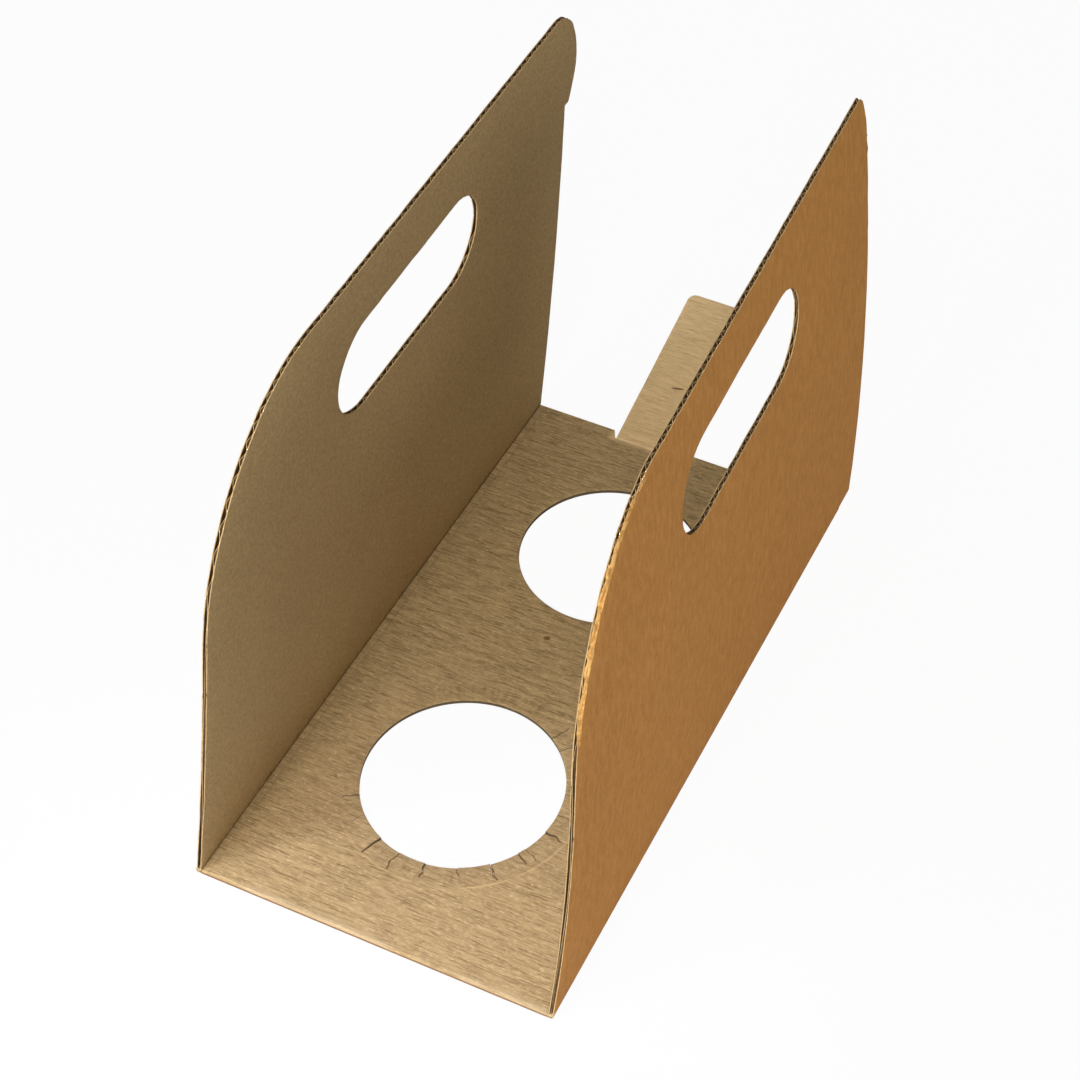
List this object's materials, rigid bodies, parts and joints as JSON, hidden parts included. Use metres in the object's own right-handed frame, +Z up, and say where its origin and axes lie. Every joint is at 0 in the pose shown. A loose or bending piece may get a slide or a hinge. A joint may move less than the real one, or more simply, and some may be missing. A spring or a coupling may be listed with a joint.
{
  "type": "cardboard cup carrier",
  "caption": "Folded corrugated cardboard carrier for two cups, with tall side walls, hand slots, cup holes and a rear tongue.",
  "frame": {"origin": "middle of the base's underside, half way along the walls' feet and half way across the folds", "axes": "+Z up, +Y along the carrier towards the tongue, +X across it towards the right wall"},
  "size_m": [0.1227, 0.2818, 0.1755],
  "materials": {
    "kraft_board": "matte kraft corrugated board"
  },
  "bodies": {
    "root": {"folded_sheet": "kraft_board"}
  },
  "joints": []
}
